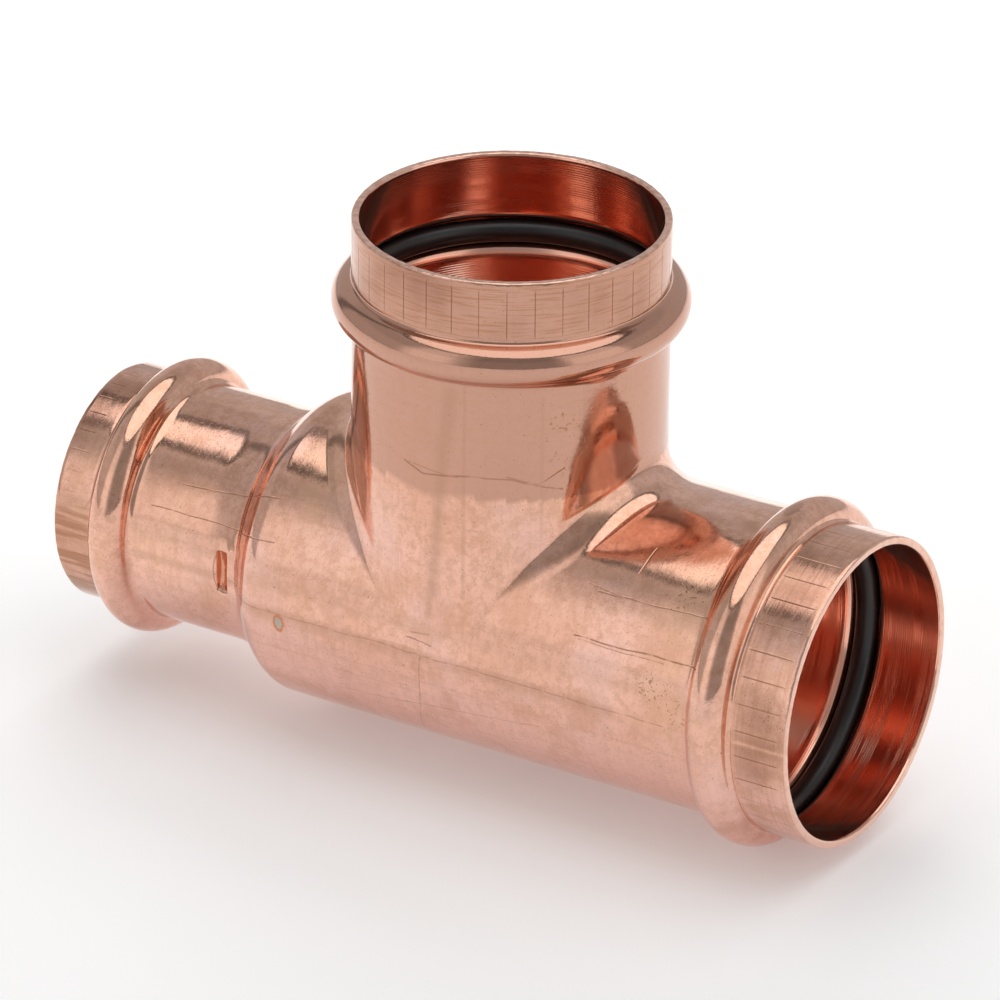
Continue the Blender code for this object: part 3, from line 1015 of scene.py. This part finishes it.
def turned_rings(n, place, inside):
    """Evenly spaced tool rings inside the sockets, a little uneven in depth, and fainter in the branch."""
    parts = n.node("ShaderNodeSeparateXYZ", {"Vector": place})
    x, _, z = parts.outputs
    along = n.blend(n.attribute("branch"), x, z)
    phase = n.math("MULTIPLY", along, 2 * math.pi / TURNED_PITCH)
    wave_height = n.math("SINE", phase)
    uneven = streaks(n, 700, 20, 1.0)
    depth = n.math("MULTIPLY", inside, n.blend(n.attribute("branch"), 1.0, 0.35))
    return n.math("MULTIPLY", n.math("MULTIPLY", wave_height, n.between(uneven, 0.35, 0.6, 0.2, 1.0)), depth)


def rubber_material():
    material = bpy.data.materials.new("seal_rubber")
    n = Nodes(material)
    whole = n.stretch((1, 1, 1))
    bloom = n.noise(whole, 160, 4.0)
    n.put(n.shader.inputs["Base Color"], n.mix(bloom, (0.007, 0.007, 0.008, 1), (0.017, 0.016, 0.016, 1)))
    n.put(n.shader.inputs["Roughness"], n.between(bloom, 0.3, 0.7, 0.27, 0.38))
    n.put(n.shader.inputs["Normal"], n.bump(n.noise(whole, 2200, 2.0), 0.00001, 0.35))
    return material


# ---------------------------------------------------------------- seals


def build_seal(leg, material):
    """A moulded ring with its parting flash, set in the groove of the leg's bead."""
    rows = MeshBuilder()
    previous, first = None, None
    for j in range(SEAL_STEPS):
        angle = 2 * math.pi * j / SEAL_STEPS
        size = SEAL_RADIUS + SEAL_FLASH * math.exp(-((math.sin(angle) / 0.12) ** 2))
        along = leg.reach - leg.bead_setback + size * math.sin(angle)
        row = rows.add(ring_points(leg, along, leg.bead_circle + size * math.cos(angle), SEAL_ROUND), BEAD, 0)
        if previous is not None:
            rows.loft(previous, row, True)
        first = row if first is None else first
        previous = row
    rows.loft(previous, first, True)
    mesh = bpy.data.meshes.new(f"{leg.name}_seal_fine")
    mesh.from_pydata(np.concatenate(rows.points).tolist(), [], rows.faces)
    ring = bmesh.new()
    ring.from_mesh(mesh)
    bmesh.ops.recalc_face_normals(ring, faces=ring.faces)
    ring.to_mesh(mesh)
    ring.free()
    mesh.shade_smooth()
    mesh.materials.append(material)
    place_piece(mesh, f"{leg.name}_seal")


def place_piece(mesh, node):
    mesh.transform(Matrix.Translation(CROSSING))
    piece = bpy.data.objects.new(f"{node}_looks", mesh)
    bpy.context.scene.collection.objects.link(piece)
    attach(piece, "root")
    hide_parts(node)


# ---------------------------------------------------------------- studio


def add_camera():
    azimuth, elevation = CAMERA_AZIMUTH, CAMERA_ELEVATION
    back = Vector((
        math.sin(azimuth) * math.cos(elevation),
        -math.cos(azimuth) * math.cos(elevation),
        math.sin(elevation),
    ))
    level_right = back.cross(Vector((0, 0, -1))).normalized()
    level_up = back.cross(level_right)
    right = level_right * math.cos(CAMERA_ROLL) + level_up * math.sin(CAMERA_ROLL)
    up = level_up * math.cos(CAMERA_ROLL) - level_right * math.sin(CAMERA_ROLL)
    place = CROSSING + back * CAMERA_DISTANCE + right * CAMERA_RIGHT + up * CAMERA_UP
    data = bpy.data.cameras.new("camera")
    data.sensor_width = CAMERA_SENSOR
    data.lens = CAMERA_LENS
    data.clip_end = 20
    camera = bpy.data.objects.new("camera", data)
    turn = Matrix((right, up, back)).transposed().to_4x4()
    camera.matrix_world = Matrix.Translation(place) @ turn
    bpy.context.scene.collection.objects.link(camera)
    bpy.context.scene.camera = camera


def overhead(n, x, y, z, radius):
    """One inside a disc of the given radius about the round softbox's middle."""
    flat = n.node("ShaderNodeCombineXYZ", {"X": x, "Y": y}).outputs[0]
    away = n.node("ShaderNodeVectorMath", operation="DISTANCE")
    n.put(away.inputs[0], flat)
    away.inputs[1].default_value = (*ROUND_BOX_CENTRE, 0.0)
    disc = n.between(away.outputs["Value"], radius - ROUND_BOX_EDGE, radius + ROUND_BOX_EDGE, 1.0, 0.0)
    return n.math("MULTIPLY", disc, n.between(z, 0.5, 0.6))


def build_tent():
    """A light tent: brighter panels to the right, front left and above, and one open side."""
    world = bpy.data.worlds.new("light_tent")
    bpy.context.scene.world = world
    n = Nodes(world)
    way = n.node("ShaderNodeTexCoord").outputs["Generated"]
    parts = n.node("ShaderNodeSeparateXYZ", {"Vector": way})
    x, y, z = parts.outputs
    azimuth = n.math("DEGREES", n.math("ARCTAN2", x, n.math("MULTIPLY", y, -1.0)))
    elevation = n.math("DEGREES", n.math("ARCSINE", z))
    wall = TENT_LEVEL
    for panel in TENT_PANELS:
        wall = n.blend(n.window(azimuth, panel.start, panel.end, panel.soft), wall, panel.level)
    low = n.between(elevation, *TENT_LOW_EDGE, TENT_LOW_SHARE, 1.0)
    high = n.between(elevation, *TENT_HIGH_EDGE, 1.0, TENT_HIGH_SHARE)
    walls = n.math("MULTIPLY", wall, n.math("MULTIPLY", low, high))
    tent = n.blend(n.between(elevation, *TENT_ROOF_EDGE), walls, TENT_ROOF)
    tent = n.blend(overhead(n, x, y, z, ROUND_BOX_RADIUS + ROUND_BOX_FRAME), tent, ROUND_BOX_FRAME_LEVEL)
    tent = n.blend(overhead(n, x, y, z, ROUND_BOX_RADIUS), tent, ROUND_BOX_LEVEL)
    seen = n.node("ShaderNodeLightPath").outputs["Is Camera Ray"]
    level = n.blend(seen, tent, BACKGROUND_LEVEL)
    n.shader.inputs["Color"].default_value = (1, 1, 1, 1)
    n.put(n.shader.inputs["Strength"], level)


def add_studio():
    build_tent()
    bpy.context.scene.view_settings.view_transform = "Standard"
    bpy.ops.mesh.primitive_circle_add(vertices=96, radius=4.0, fill_type="NGON")
    floor = bpy.context.object
    floor.name = "floor"
    material = bpy.data.materials.new("floor_paper")
    n = Nodes(material)
    n.shader.inputs["Base Color"].default_value = (0.9, 0.9, 0.9, 1)
    n.shader.inputs["Roughness"].default_value = 0.9
    n.shader.inputs["Emission Color"].default_value = (1, 1, 1, 1)
    n.shader.inputs["Emission Strength"].default_value = FLOOR_GLOW
    floor.data.materials.append(material)
    add_back_light()


def add_back_light():
    """A soft box over the paper behind the fitting, which whitens the paper only."""
    data = bpy.data.lights.new("back_light", "AREA")
    data.size = BACK_LIGHT_SIZE
    data.energy = BACK_LIGHT_POWER
    light = bpy.data.objects.new("back_light", data)
    light.location = BACK_LIGHT_PLACE
    light.visible_glossy = False
    bpy.context.scene.collection.objects.link(light)


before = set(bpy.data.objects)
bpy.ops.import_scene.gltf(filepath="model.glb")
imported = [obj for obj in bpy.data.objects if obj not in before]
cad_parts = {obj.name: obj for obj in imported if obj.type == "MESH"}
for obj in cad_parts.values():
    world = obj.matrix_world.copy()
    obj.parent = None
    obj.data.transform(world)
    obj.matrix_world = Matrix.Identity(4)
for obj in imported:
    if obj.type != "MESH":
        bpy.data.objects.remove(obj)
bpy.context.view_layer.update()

body_mesh = build_body()
body_mesh.materials.append(copper_material())
place_piece(body_mesh, "tee_body")
seal_material = rubber_material()
for socket in LEGS:
    build_seal(socket, seal_material)
add_studio()
add_camera()
